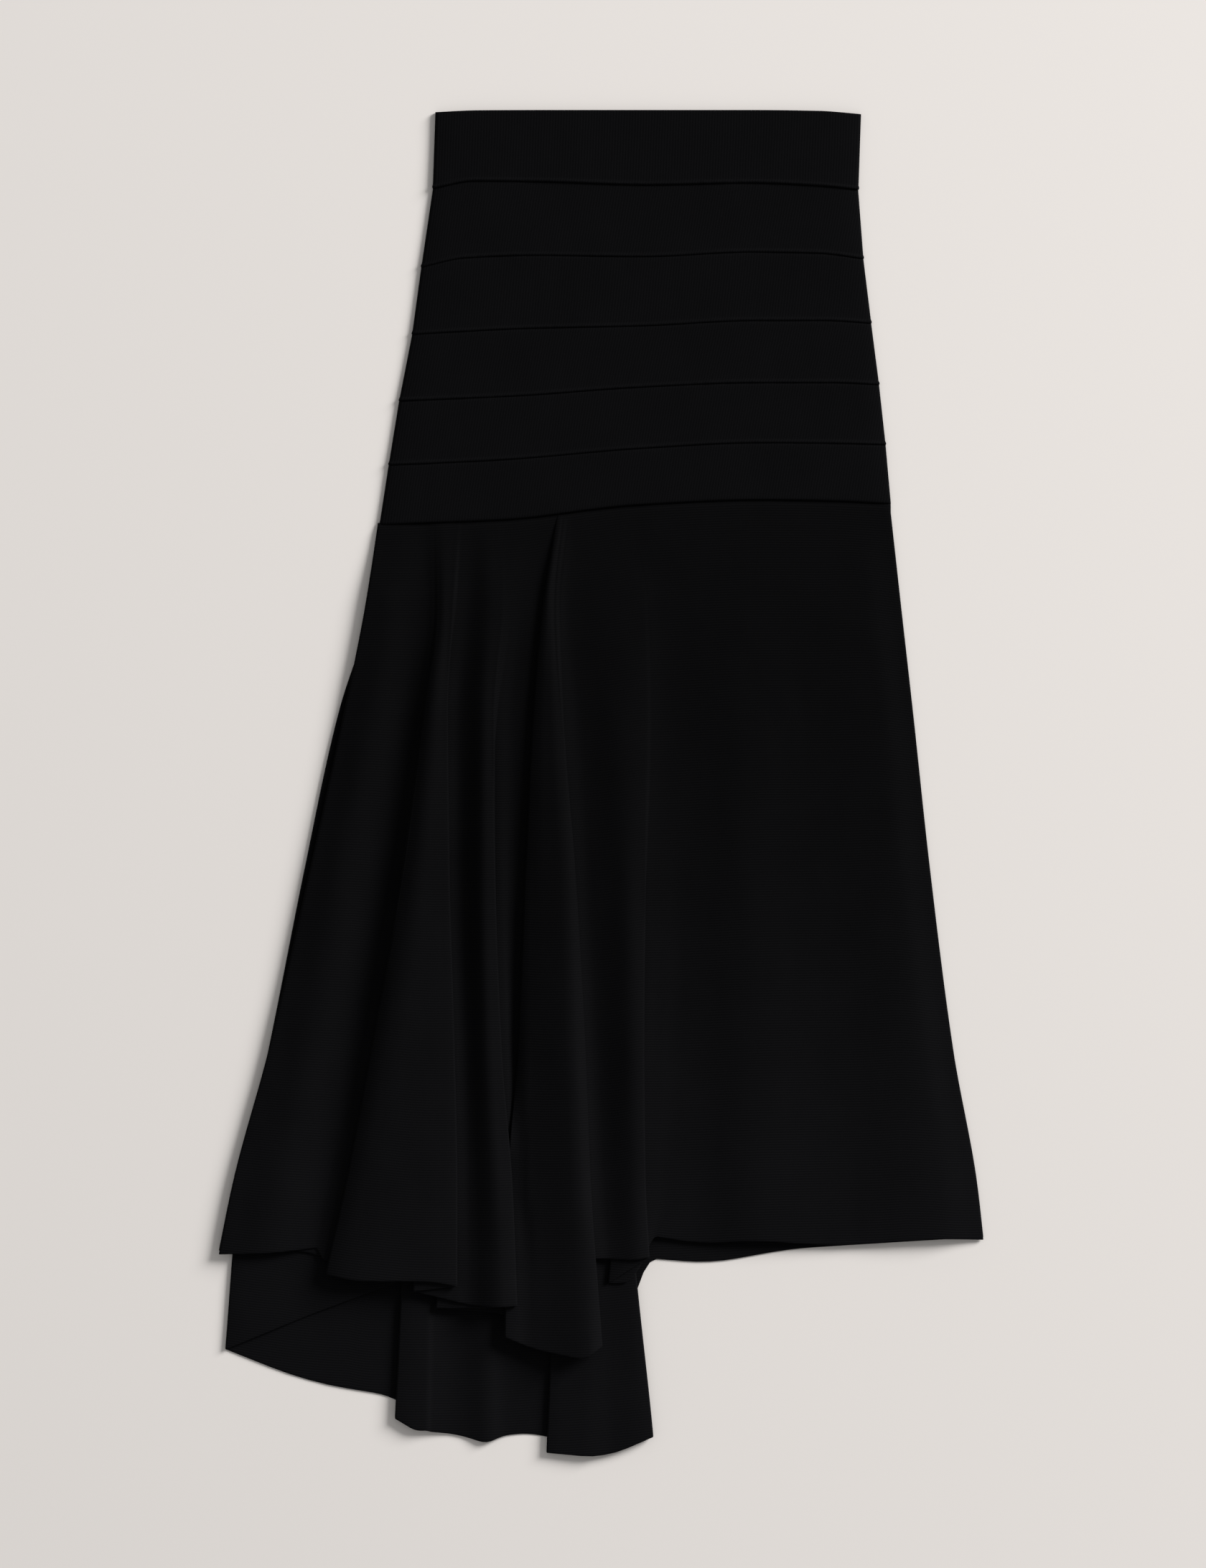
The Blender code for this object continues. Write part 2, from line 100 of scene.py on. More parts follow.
# Fold lines of the flared skirt, from the left edge along the cloth to the right edge.
# across: place at these drops and at the hem; hem: the line's own drop there.
# layers: height at the lower drops and at the hem, counted in lying layers.
# turn: 1 where the cloth doubles back upward, -1 where it doubles back downward, 0 on a soft ridge or valley. The
# turns come in pairs, and a doubling is as wide as the first line of its pair lies to the right of the second.
# soft: how far from the line the cloth starts to bend.
ACROSS_DROPS = (308, 380, 460, 580, 720, 820)
LAYER_DROPS = (308, 330, 380, 580, 720)
EARLY_SHARE = 0.22  # how much of its height at the third of these drops a fold line has at the second
TURN_OVERLAP = 5.0  # width at which a doubling reaches its full height
TURN_SPREAD = 0.75  # half the cloth between the two corners of a doubling that has not begun
Fold = namedtuple("Fold", "name across hem layers turn soft")
FRONT_FOLDS = (
    Fold("left_edge", (-205, -216, -232, -258, -290, -317, -328), 876, (2.75, 2.75, 2.75, 2.75), 0, 0),
    Fold("left_panel", (-185, -194, -210, -231, -258, -278, -288), 875, (2.7, 3.5, 3.7, 3.7), 0, 60),
    Fold("valley_1", (-170, -169, -179, -194, -218, -243, -253), 871, (1.3, 1.3, 2.8, 2.8), 0, 14),
    Fold("ripple", (-167, -166, -176, -191, -213, -236, -249), 880, (1.5, 1.7, 3.1, 3.2), 0, 3),
    Fold("under_2", (-164, -163, -173, -188, -204.5, -220, -228), 884, (1.7, 2.3, 2.8, 2.9), 1, 0),
    Fold("fold_2_left", (-161, -160, -170, -186, -211, -230, -246), 891, (2.3, 3.9, 5.2, 5.0), 1, 0),
    Fold("crown_2_left", (-158, -157, -163, -175, -195, -211, -224), 896, (3.0, 5.3, 6.4, 6.3), 0, 30),
    Fold("crown_2_right", (-151, -153, -157, -160, -162, -164, -166), 896, (3.2, 5.6, 6.9, 7.8), 0, 30),
    Fold("fold_2_right", (-145, -149, -153, -152, -148, -146, -146), 900, (3.1, 5.3, 6.4, 7.4), -1, 0),
    Fold("under_3", (-141, -147, -157, -162, -169, -174, -179), 904, (1.9, 2.6, 4.2, 4.9), -1, 0),
    Fold("valley_2", (-136, -131, -140, -145, -141, -140, -138), 914, (1.4, 1.7, 4.0, 5.4), 0, 10),
    Fold("ridge_3", (-126, -119, -127, -127, -124, -121, -119), 916, (2.6, 4.2, 5.8, 7.1), 0, 12),
    Fold("fold_3_right", (-116, -112, -118, -117, -112, -104, -100), 915, (2.4, 4.6, 5.8, 7.2), -1, 0),
    Fold("return_3", (-113, -110, -117, -118, -116, -113, -115), 916, (2.3, 3.2, 4.6, 6.0), 0, 3),
    Fold("return_3_inner", (-110, -108, -116, -121, -124, -124, -128), 917, (2.2, 3.0, 4.1, 4.7), 0, 4),
    Fold("under_strip", (-107, -105, -115, -124, -133, -145, -162), 917, (2.2, 1.4, 3.0, 3.0), -1, 0),
    Fold("strip", (-100, -95, -102, -108, -106, -105, -111), 921, (2.3, 2.2, 3.0, 3.0), 0, 10),
    Fold("valley_3", (-85, -84, -93, -97, -101, -99, -92), 925, (1.2, 1.2, 2.3, 3.0), 0, 6),
    Fold("under_4", (-68, -74, -78, -84, -88, -84, -78), 929, (1.2, 1.8, 2.4, 3.0), 1, 0),
    Fold("fold_4_left", (-68, -80, -87, -93, -99, -107, -109), 939, (3.0, 3.7, 4.5, 5.0), 1, 0),
    Fold("crown_4_left", (-67, -77, -81, -84, -86, -89, -88), 948, (3.6, 4.9, 5.8, 6.0), 0, 8),
    Fold("crown_4_right", (-66, -74, -72, -64, -58, -54, -48), 956, (3.1, 5.3, 6.7, 7.6), 0, 25),
    Fold("fold_4_right", (-64, -71, -66, -56, -48, -44, -35), 946, (2.5, 4.4, 5.5, 6.8), -1, 0),
    Fold("under_5", (-60, -67, -65, -62, -58, -57, -58), 879, (2.1, 2.0, 3.5, 4.0), -1, 0),
    Fold("valley_4", (-54, -59, -53, -49, -41, -37, -34), 879, (1.4, 1.9, 3.6, 4.9), 0, 8),
    Fold("ridge_5", (-29, -16, -18, -14, -13, -10, -9), 880, (2.2, 3.3, 5.0, 5.3), 0, 12),
    Fold("fold_5_right", (-18, -3, -1, -2, -3, -2, 1), 878, (1.6, 2.4, 4.9, 5.2), -1, 0),
    Fold("under_panel", (-13, 1, 3, -1, -10, -22, -30), 898, (1.4, 1.6, 2.8, 3.0), -1, 0),
    Fold("panel_corner", (-9, 5, 8, 5, -3, -11, -14), 898, (1.2, 1.3, 2.9, 3.0), 0, 3),
    Fold("panel_step", (-4, 9, 13, 15, 9, 2, -3), 881, (1.1, 1.1, 2.3, 2.7), 0, 4),
    Fold("panel_start", (3, 15, 20, 23, 20, 13, 4), 862, (1.0, 1.0, 1.4, 1.9), 0, 5),
    Fold("flute_valley_1", (21, 32, 37, 42, 43, 40, 40), 868, (1.0, 1.0, 1.0, 1.0), 0, 20),
    Fold("flute_ridge_1", (59, 70, 76, 79, 81, 81, 81), 865, (1.2, 1.5, 1.8, 2.2), 0, 40),
    Fold("flute_valley_2", (103, 112, 120, 128, 136, 142, 145), 870, (1.0, 1.0, 1.0, 1.0), 0, 40),
    Fold("flute_ridge_2", (153, 169, 178, 189, 205, 213, 219), 864, (1.1, 1.3, 1.5, 1.8), 0, 40),
    Fold("right_edge", (186, 194, 203, 216, 234, 252, 257), 865, (0.75, 0.75, 0.75, 0.75), 0, 0),
)
# Heights, in layers and at the second of the layer drops, of the lines of the one fold that starts sharply
EARLY_LAYERS = {
    "under_4": 1.05,
    "fold_4_left": 2.1,
    "crown_4_left": 2.2,
    "crown_4_right": 2.2,
    "fold_4_right": 1.8,
    "under_5": 1.4,
}
# Swells of the laid cloth from left to right: places across, and how many times its height the cloth has there. Both
# are given at the drops for places across, and at the hem.
Swell = namedtuple("Swell", "name across height")
SWELLS = (
    Swell("left_edge", (-205, -216, -232, -258, -290, -317, -328), (1.0, 1.0, 1.0, 1.0, 1.0, 1.0, 1.0)),
    Swell("left_panel", (-192, -198, -212, -236, -262, -284, -296), (1.0, 1.1, 1.2, 1.25, 1.25, 1.25, 1.2)),
    Swell("valley_1", (-170, -176, -187, -202, -225, -246, -258), (1.0, 0.9, 0.7, 0.62, 0.62, 0.66, 0.8)),
    Swell("crown_2", (-160, -161, -168, -184, -205, -222, -236), (1.0, 1.3, 1.6, 1.6, 1.4, 1.25, 1.15)),
    Swell("edge_2", (-145, -150, -154, -152, -148, -146, -146), (1.0, 1.0, 1.05, 1.1, 1.1, 1.05, 1.0)),
    Swell("valley_2", (-136, -138, -145, -144, -140, -138, -138), (1.0, 0.8, 0.72, 0.72, 0.8, 0.85, 0.9)),
    Swell("crest_3", (-124, -123, -126, -126, -122, -116, -112), (1.0, 1.25, 1.4, 1.4, 1.3, 1.25, 1.2)),
    Swell("edge_3", (-116, -112, -118, -117, -112, -104, -100), (1.0, 1.1, 1.15, 1.15, 1.1, 1.0, 1.0)),
    Swell("strip", (-95, -96, -104, -104, -102, -99, -92), (1.0, 0.8, 0.65, 0.62, 0.64, 0.75, 0.85)),
    Swell("edge_4", (-69, -79, -86, -91, -95, -92, -86), (1.0, 1.1, 1.1, 1.05, 0.95, 0.9, 0.9)),
    Swell("crest_4", (-64, -72, -67, -60, -55, -49, -42), (1.0, 1.15, 1.25, 1.3, 1.25, 1.2, 1.15)),
    Swell("valley_4", (-52, -60, -52, -46, -41, -36, -32), (1.0, 0.9, 0.8, 0.75, 0.75, 0.8, 0.85)),
    Swell("crest_5", (-29, -18, -16, -12, -11, -9, -7), (1.0, 1.1, 1.25, 1.3, 1.25, 1.15, 1.1)),
    Swell("step_5", (5, 8, 12, 12, 8, 4, 3), (1.1, 1.2, 1.2, 1.1, 1.0, 1.0, 1.0)),
    Swell("flute_1", (59, 70, 76, 79, 81, 81, 81), (1.15, 1.7, 1.9, 1.9, 1.9, 1.8, 1.5)),
    Swell("flute_2", (103, 112, 120, 128, 136, 142, 145), (1.15, 1.6, 1.7, 1.7, 1.6, 1.6, 1.5)),
    Swell("flute_3", (160, 170, 180, 192, 210, 224, 229), (1.15, 1.7, 2.0, 2.0, 2.0, 1.9, 1.8)),
    Swell("right_edge", (186, 194, 203, 216, 234, 252, 257), (1.0, 1.0, 1.0, 1.0, 1.0, 1.0, 1.0)),
)
BACK_FOLDS = (
    Fold("left_edge", (-205, -216, -232, -258, -290, -317, -328), 873, (2.0, 2.0, 2.0, 2.0), 0, 0),
    Fold("return_middle", (-202, -213, -226, -240, -254, -262, -260), 873, (2.0, 2.0, 2.0, 2.0), 0, 10),
    Fold("under_return", (-199, -210, -219, -227, -228, -210, -193), 898, (2.0, 2.0, 2.0, 2.0), -1, 0),
    Fold("middle_layer", (-196, -210, -229, -246, -262, -270, -260), 923, (1.0, 1.0, 1.0, 1.0), 0, 10),
    Fold("left_fold", (-193, -210, -236, -262, -290, -312, -323), 949, (0.0, 0.0, 0.0, 0.0), -1, 0),
    Fold("floor_left", (-188, -205, -221, -238, -251, -254, -260), 974, (0.0, 0.0, 0.0, 0.0), 0, 20),
    Fold("floor_valley", (-182, -184, -185, -188, -193, -196, -199), 984, (0.0, 0.0, 0.0, 0.0), 0, 8),
    Fold("under_hem_1", (-176, -176, -177, -175.5, -176.5, -178, -178), 996, (0.0, 0.0, 0.0, 0.0), 1, 0),
    Fold("hem_1_left", (-171, -171, -172, -173, -176.5, -184, -193), 1002, (0.0, 0.0, 2.0, 2.0), 1, 0),
    Fold("hem_1_crown", (-167, -167, -168, -169, -172, -173, -178), 1011, (0.0, 0.0, 2.1, 2.2), 0, 5),
    Fold("hem_1_crease", (-162, -162, -163, -164, -165, -166, -169), 1011, (0.0, 0.0, 1.9, 2.0), 0, 1.5),
    Fold("hem_1_foot", (-157, -157, -158, -160, -161, -162, -166), 1012, (0.0, 0.0, 1.2, 1.3), 0, 2),
    Fold("hem_valley", (-148, -148, -148, -147, -147, -147, -146), 1014, (0.0, 0.0, 0.0, 0.0), 0, 8),
    Fold("hem_ridge", (-137, -135, -133, -130, -129, -127, -123), 1021, (0.0, 0.0, 1.0, 1.7), 0, 12),
    Fold("hem_crease", (-127, -123, -119, -116, -114, -112, -111), 1015, (0.0, 0.0, 0.0, 0.2), 0, 3),
    Fold("hem_flat", (-110, -107, -103, -99, -97, -95, -92), 1013, (0.0, 0.0, 0.0, 0.0), 0, 10),
    Fold("under_hem_2", (-84, -80, -77, -68.5, -63.5, -59, -56), 1020, (0.0, 0.0, 0.0, 0.0), 1, 0),
    Fold("hem_2_left", (-78, -74, -71, -66, -62, -68, -77), 1028, (0.0, 0.0, 2.0, 2.0), 1, 0),
    Fold("hem_2_crown", (-60, -54, -49, -42, -40, -36, -33), 1032, (0.0, 0.0, 2.1, 2.1), 0, 15),
    Fold("hem_2_right", (-38, -31, -26, -20, -16, -14, 4), 1016, (0.0, 0.0, 2.0, 2.0), -1, 0),
    Fold("under_right", (-28, -22, -18, -13, -15, -26, -31), 1000, (0.0, 0.0, 0.0, 0.0), -1, 0),
    Fold("right_step", (-14, -9, -4, 1, 0, -4, -3), 879, (0.0, 0.0, 0.0, 0.0), 0, 5),
    Fold("right_valley", (21, 26, 31, 35, 40, 46, 48), 883, (0.0, 0.0, 0.0, 0.0), 0, 10),
    Fold("right_middle", (76, 81, 87, 92, 98, 103, 109), 872, (0.0, 0.0, 0.0, 0.0), 0, 10),
    Fold("right_outer", (142, 153, 161, 172, 186, 197, 205), 866, (0.0, 0.0, 0.0, 0.0), 0, 10),
    Fold("right_edge", (186, 194, 203, 216, 234, 252, 257), 863, (0.0, 0.0, 0.0, 0.0), 0, 0),
)
JOIN_LAYER_FRONT = 1.0
JOIN_LAYER_BACK = 0.0
FLARE_ROWS = 100
TURN_STEPS = 4
SOFT_STEPS = 4
SOFT_REACH = 2.0  # the cloth bends over this many times the reach that the solids have
FLAT_STEP = 6.0
SOFT_PASSES = 14  # how often the rows near the join are smoothed
SOFT_START = 400
SOFT_END = 560
SHARP_ACROSS = (-70, -77, -80, -82, -82, -82)  # the fold that starts sharply, at the drops for places across
SHARP_REACH = 9.0
LATER_FROM = -42  # right of here the rows are smoothed further down
LATER_REACH = 12
LATER_BY = 90

# Unevenness of the laid cloth: its broad and fine waves across and down, and how much of it is broad
BROAD_ACROSS = 46.0
BROAD_DOWN = 120.0
FINE_ACROSS = 15.0
FINE_DOWN = 34.0
FINE_SEED = 7.0
BROAD_SHARE = 0.65
BAND_UNEVEN = 0.5
FLARE_UNEVEN_FRONT = 0.9
FLARE_UNEVEN_BACK = 0.4

# Shares of the wall left in from a side edge and up from a hem, and how far the flare's first rows lie lower
EDGE_TAPER = (0.55, 0.68, 0.8, 0.9, 0.97)
HEM_TAPER = (0.4, 0.75, 0.95)
JOIN_FALLS = (0.9, 0.6, 0.25, 0.06)
JOIN_SECOND_ROW = 0.3

# Colour of the knit, the same yarn throughout, with painted shade in its rib grooves and painted light that
# brightens the flare toward the hem, and how it takes the light
FRONT_KNIT = (0.0034, 0.0034, 0.0039)
BACK_KNIT = (0.0033, 0.0033, 0.0038)
# painted shade: how dark the rib grooves are painted, as a share of the knit's colour
PAINTED_GROOVE_SHADE = 0.72
PAINTED_LIGHT_FROM = 0.12  # the height up the laid garment, in metres, at which painted light starts to make the flared knit less black, more so toward the hem
PAINTED_LIGHT_TO = -0.5
# Factors at those two heights: an even tone on the yoke, and painted light on the flare that brightens it toward the
# hem
YOKE_SHADES = (0.93, 0.93)
FLARE_PAINTED_LIGHT = (0.74, 1.45)
KNIT_ROUGHNESS = 0.8
KNIT_SPECULAR = 0.03
SHEEN_WEIGHT = 0.012
SHEEN_ROUGHNESS = 0.3
RIB_SPACING = 0.0019
WALE_SPACING = 0.0021
YOKE_BUMP = 0.25
FLARE_BUMP = 0.35

# Camera, light and floor
PHOTO_WIDTH = 1680
PHOTO_HEIGHT = 2184
MM_PER_PIXEL = 0.55
ORIGIN_PIXEL = (837.5, 1091.0)
CAMERA_HEIGHT = 6.0
SENSOR = 36.0
FLOOR_COLOUR = (0.80, 0.765, 0.735)
FLOOR_SIZE = 14.0
KEY_PLACE = (9.2, 6.2, 5.0)  # a large soft light, low at the upper right
KEY_SIZE = 5.5
KEY_POWER = 2250.0
KEY_COLOUR = (1.0, 0.99, 0.985)
WORLD_STRENGTH = 0.34


def smooth_step(value):
    value = np.clip(value, 0.0, 1.0)
    return value * value * (3.0 - 2.0 * value)


def smooth_curve(places, values, wanted):
    """Values at the wanted places on a smooth curve that never swings past its given points."""
    places = np.asarray(places, float)
    values = np.asarray(values, float)
    steps = np.diff(values) / np.diff(places)
    slopes = np.zeros(len(values))
    same_way = steps[:-1] * steps[1:] > 0.0
    sums = np.where(same_way, steps[:-1] + steps[1:], 1.0)
    slopes[1:-1] = np.where(same_way, 2.0 * steps[:-1] * steps[1:] / sums, 0.0)
    slopes[0] = steps[0]
    slopes[-1] = steps[-1]
    wanted = np.clip(wanted, places[0], places[-1])
    index = np.clip(np.searchsorted(places, wanted) - 1, 0, len(steps) - 1)
    span = np.diff(places)[index]
    t = (wanted - places[index]) / span
    return (
        (1 + 2 * t) * (1 - t) ** 2 * values[index]
        + t * (1 - t) ** 2 * span * slopes[index]
        + t * t * (3 - 2 * t) * values[index + 1]
        + t * t * (t - 1) * span * slopes[index + 1]
    )


def seam_drop(seam, across):
    share = (across - seam.left) / (seam.right - seam.left)
    return smooth_curve(SEAM_SHARES, seam.drops, share)


def round_corners(corners, legs, steps):
    """Points along each row of corners, with each inner corner of one step or more rounded over by an arc."""
    found = [corners[:, 0]]
    for i in range(1, corners.shape[1] - 1):
        at = corners[:, i]
        if not steps[i]:
            found.append(at)
            continue
        before = corners[:, i - 1] - at
        after = corners[:, i + 1] - at
        lengths = [np.hypot(side[:, 0], side[:, 2])[:, None] for side in (before, after)]
        leg = np.minimum(legs[i], LARGEST_LEG * np.minimum(*lengths))
        before *= leg / lengths[0]
        after *= leg / lengths[1]
        # The middle of the arc lies on the line to the corner. This is the weight that an exact arc gives it.
        weight = np.linalg.norm((before - after)[:, [0, 2]], axis=1, keepdims=True) / (2 * leg)
        for step in range(steps[i] + 1):
            t = step / steps[i]
            pull = 2 * t * (1 - t) * weight
            moved = (1 - t) ** 2 * before + t * t * after
            found.append(at + moved / ((1 - t) ** 2 + pull + t * t))
    found.append(corners[:, -1])
    return np.stack(found, axis=1)


def way_along(middle):
    """Direction of each row at its points. The nearer of a point's two neighbours counts for more."""
    steps = np.diff(middle, axis=1)
    lengths = np.linalg.norm(steps, axis=2, keepdims=True)
    ways = steps / lengths
    inside = ways[:, :-1] * lengths[:, 1:] + ways[:, 1:] * lengths[:, :-1]
    return np.concatenate([ways[:, :1], inside, ways[:, -1:]], axis=1)


def spaced(points):
    """The rows of points with more put between neighbours that lie far apart."""
    found = [points[:, :1]]
    for column in range(1, points.shape[1]):
        start = points[:, column - 1]
        end = points[:, column]
        count = max(1, math.ceil(np.mean(np.linalg.norm((end - start)[:, [0, 2]], axis=1)) / FLAT_STEP))
        for step in range(1, count + 1):
            found.append((start + (end - start) * step / count)[:, None])
    return np.concatenate(found, axis=1)


def fold_line(fold, join_layer, shares):
    """Points of one fold line as across, drop and layers, for each share of the way from the join to the hem."""
    top = seam_drop(SEAMS[-1], fold.across[0]) + SEAM_GAP
    drop = top + shares * (fold.hem - top)
    across = smooth_curve(ACROSS_DROPS + (fold.hem,), fold.across, drop)
    early = EARLY_LAYERS.get(fold.name, join_layer + EARLY_SHARE * (fold.layers[0] - join_layer))
    layers = smooth_curve(LAYER_DROPS + (fold.hem,), (join_layer, early) + fold.layers, drop)
    return np.stack([across, drop, layers], axis=1)


def on_middle_surface(line, aside=0.0, up=0.0):
    """Points of the middle surface at a fold line, moved aside in millimetres and up in layers."""
    across, drop, layers = line.T
    return np.stack([across + aside, -drop, FLARE_WALL / 2 + LAYER * (layers + up)], axis=1)


def doublings(folds, lines):
    """How far each doubling has grown along its two lines, from 0 to 1, by the number of the line."""
    turns = [number for number, fold in enumerate(folds) if fold.turn]
    found = {}
    for first, second in zip(turns[::2], turns[1::2]):
        overlap = lines[first][:, 0] - lines[second][:, 0]
        grown = smooth_step(overlap / TURN_OVERLAP)
        found[first] = (grown, (0.0, folds[first].turn))
        found[second] = (grown, (-folds[second].turn, 0.0))
    return found


def hem_shares():
    """Shares of the way from the join to the hem, with more rows where the join dips and the hem is rounded."""
    top = np.array([0.0, 0.0015, 0.0035, 0.007])
    middle = np.linspace(0.012, 0.996, FLARE_ROWS - 7)
    return np.concatenate([top, middle, [0.9982, 0.9994, 1.0]])


def flare_grid(folds, join_layer, edge_fall):
    """Middle surface of a flared panel, with its side edges turned to meet the other panel's."""
    shares = hem_shares()
    lines = [fold_line(fold, join_layer, shares) for fold in folds]
    grown_at = doublings(folds, lines)
    corners = [on_middle_surface(lines[0])]
    legs = [0]
    steps = [0]
    for number, fold in enumerate(folds[1:-1], 1):
        found = [on_middle_surface(lines[number])]
        if fold.turn:
            grown, (up_before, up_after) = grown_at[number]
            spread = TURN_SPREAD * (1.0 - grown)
            found = [
                on_middle_surface(lines[number], -spread, up_before * grown),
                on_middle_surface(lines[number], spread, up_after * grown),
            ]
        corners += found
        legs += [fold.soft * SOFT_REACH or TURN_LEG] * len(found)
        steps += [SOFT_STEPS if fold.soft else TURN_STEPS] * len(found)
    corners.append(on_middle_surface(lines[-1]))
    grid = round_corners(np.stack(corners, axis=1), legs + [0], steps + [0])
    return edge_turned(softened(spaced(grid)), edge_fall)


def softened(grid):
    """The rows near the join smoothed along their length, but for the one fold that starts sharply."""
    drop = -grid[..., 1] - LATER_BY * smooth_step((grid[..., 0] - LATER_FROM) / LATER_REACH)
    sharp = smooth_curve(ACROSS_DROPS, SHARP_ACROSS, drop)
    near = smooth_step((SOFT_END - drop) / (SOFT_END - SOFT_START))
    away = smooth_step((np.abs(grid[..., 0] - sharp) - SHARP_REACH) / SHARP_REACH)
    share = (0.5 * near * away)[:, 1:-1, None]
    for _ in range(SOFT_PASSES):
        middle = (grid[:, :-2] + grid[:, 2:]) / 2
        grid[:, 1:-1] += share * (middle - grid[:, 1:-1])
    return grid


def edge_turned(grid, fall):
    """The grid with its first and last columns replaced by a quarter turn down, or up where fall is negative."""
    for _ in range(2):
        edge = grid[:, :1]
        inside = grid[:, 1:2]
        way = inside - edge
        width = np.hypot(way[..., 0], way[..., 2])[..., None]
        turn = []
        for step in range(EDGE_POINTS):
            angle = math.pi / 2 * step / EDGE_POINTS
            point = edge + way * (EDGE_WIDTH * (1.0 - math.cos(angle)) / width)
            point[..., 2] -= fall * (1.0 - math.sin(angle))
            turn.append(point)
        turn.append(edge + way * (EDGE_WIDTH / width))
        keep = grid[:, 1:]
        grid = np.concatenate(turn + [keep], axis=1)[:, ::-1]
    return grid


def swell_at(across, drop):
    """How many times its own height the cloth has at each place."""
    drops = ACROSS_DROPS + (880,)
    lines = [smooth_curve(drops, swell.across, drop) for swell in SWELLS]
    heights = [smooth_curve(drops, swell.height, drop) for swell in SWELLS]
    found = heights[0]
    for number in range(1, len(SWELLS)):
        share = smooth_step((across - lines[number - 1]) / (lines[number] - lines[number - 1]))
        found = found + share * (heights[number] - heights[number - 1])
    return found


def swollen(grid):
    """The cloth with its soft swells. They change all its heights alike, so layers stay in their order."""
    lifted = grid.copy()
    lifted[..., 2] *= swell_at(grid[..., 0], -grid[..., 1])
    return lifted


def relief(points, seed, height):
    """Soft unevenness of laid knitwear, which grows with the height of the cloth so that no layers meet."""
    flat = points.reshape(-1, 3)
    uneven = np.empty(len(flat))
    for index, (across, down, _) in enumerate(flat):
        broad = noise.noise(Vector((across / BROAD_ACROSS, down / BROAD_DOWN, seed)))
        fine = noise.noise(Vector((across / FINE_ACROSS, down / FINE_DOWN, seed + FINE_SEED)))
        uneven[index] = BROAD_SHARE * broad + (1.0 - BROAD_SHARE) * fine
    lifted = flat.copy()
    lifted[:, 2] *= 1.0 + height * uneven / (LAYER + flat[:, 2])
    return lifted.reshape(points.shape)


def lengths_along(grid, axis):
    """Length of cloth from the first row or column to each point, in metres."""
    steps = np.linalg.norm(np.diff(grid, axis=axis), axis=2)
    zero = np.zeros_like(np.take(steps, [0], axis=axis))
    return np.concatenate([zero, np.cumsum(steps, axis=axis)], axis=axis) * MM


def shell_object(name, middle, thickness, share, rise, origin):
    """A closed shell around the middle surface, with the cloth's own lengths as its UV map."""
    down = np.gradient(middle, axis=0)
    normal = np.cross(down, way_along(middle))
    normal /= np.linalg.norm(normal, axis=2, keepdims=True)
    half = (thickness / 2 * share)[..., None] * normal
    upper = middle + half
    upper[..., 2] += rise
    lower = middle - half
    points = np.concatenate([upper.reshape(-1, 3), lower.reshape(-1, 3)])
    points[:, 2] = np.maximum(points[:, 2], 0.02)
    rows, columns = middle.shape[:2]
    index = np.arange(len(points)).reshape(2, rows, columns)
    top = index[0]
    bottom = index[1]
    over = np.stack([top[:-1, :-1], top[1:, :-1], top[1:, 1:], top[:-1, 1:]], axis=-1).reshape(-1, 4)
    under = np.stack([bottom[:-1, :-1], bottom[:-1, 1:], bottom[1:, 1:], bottom[1:, :-1]], axis=-1).reshape(-1, 4)
    rim = np.concatenate([
        np.stack([np.zeros(columns, int), np.arange(columns)], 1),
        np.stack([np.arange(1, rows), np.full(rows - 1, columns - 1)], 1),
        np.stack([np.full(columns - 1, rows - 1), np.arange(columns - 2, -1, -1)], 1),
        np.stack([np.arange(rows - 2, 0, -1), np.zeros(rows - 2, int)], 1),
    ])
    here = rim
    there = np.roll(rim, -1, axis=0)
    sides = np.stack([
        top[here[:, 0], here[:, 1]], top[there[:, 0], there[:, 1]],
        bottom[there[:, 0], there[:, 1]], bottom[here[:, 0], here[:, 1]],
    ], axis=-1)
    faces = np.concatenate([over, under, sides])
    mesh = bpy.data.meshes.new(name)
    mesh.from_pydata((points * MM + origin).tolist(), [], faces.tolist())
    across = lengths_along(middle, 1).reshape(-1)
    along = lengths_along(middle, 0).reshape(-1)
    knit = mesh.uv_layers.new(name="knit")
    vertex = np.empty(len(mesh.loops), int)
    mesh.loops.foreach_get("vertex_index", vertex)
    vertex %= rows * columns
    knit.data.foreach_set("uv", np.stack([across[vertex], along[vertex]], axis=1).reshape(-1))
    mesh.shade_smooth()
    piece = bpy.data.objects.new(name, mesh)
    bpy.context.scene.collection.objects.link(piece)
    return piece


